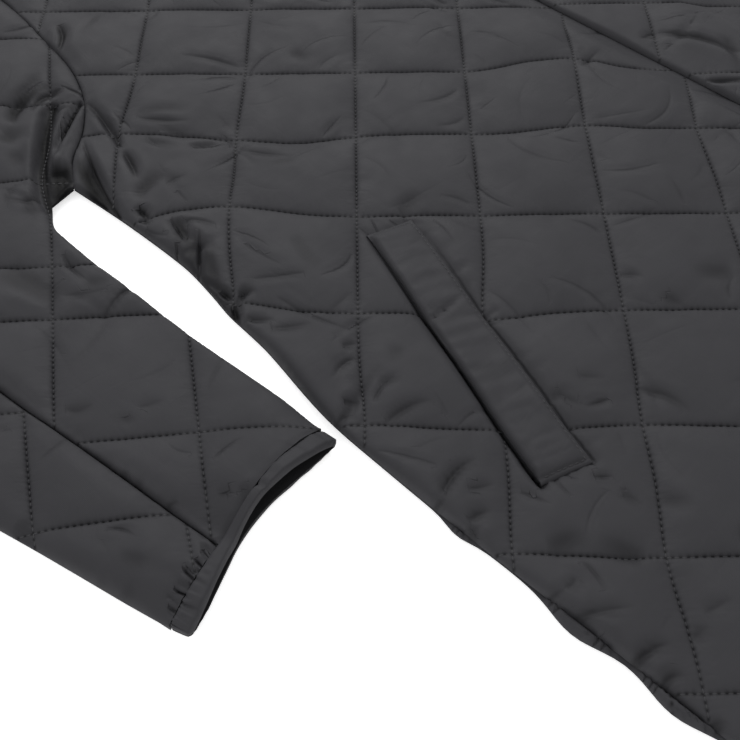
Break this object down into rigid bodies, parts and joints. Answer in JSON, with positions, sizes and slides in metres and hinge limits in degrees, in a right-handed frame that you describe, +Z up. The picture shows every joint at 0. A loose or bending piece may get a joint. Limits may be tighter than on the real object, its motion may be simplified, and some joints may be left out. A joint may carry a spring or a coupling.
{
  "type": "quilted jacket laid flat",
  "caption": "Light padded jacket quilted in diagonal squares, laid flat front up, with slanted pocket welts and rolled cuffs.",
  "frame": {"origin": "middle of the garment's footprint, on the surface it lies on", "axes": "+X to the wearer's left, +Y from the hem to the collar, +Z up, away from the surface and out of the garment's front"},
  "size_m": [0.9472, 0.7705, 0.0175],
  "materials": {
    "shell": "charcoal nylon taffeta with a soft satin sheen, quilted to light padding",
    "welt": "the shell's nylon, folded and edge-stitched",
    "binding": "the shell's nylon, rolled over a soft elastic"
  },
  "bodies": {
    "root": {"back": "shell", "collar": "shell", "cuff_left": "binding", "cuff_right": "binding", "front_left": "shell", "front_right": "shell", "sleeve_top_left": "shell", "sleeve_top_right": "shell", "sleeve_under_left": "shell", "sleeve_under_right": "shell", "welt_left": "welt", "welt_right": "welt"}
  },
  "joints": []
}
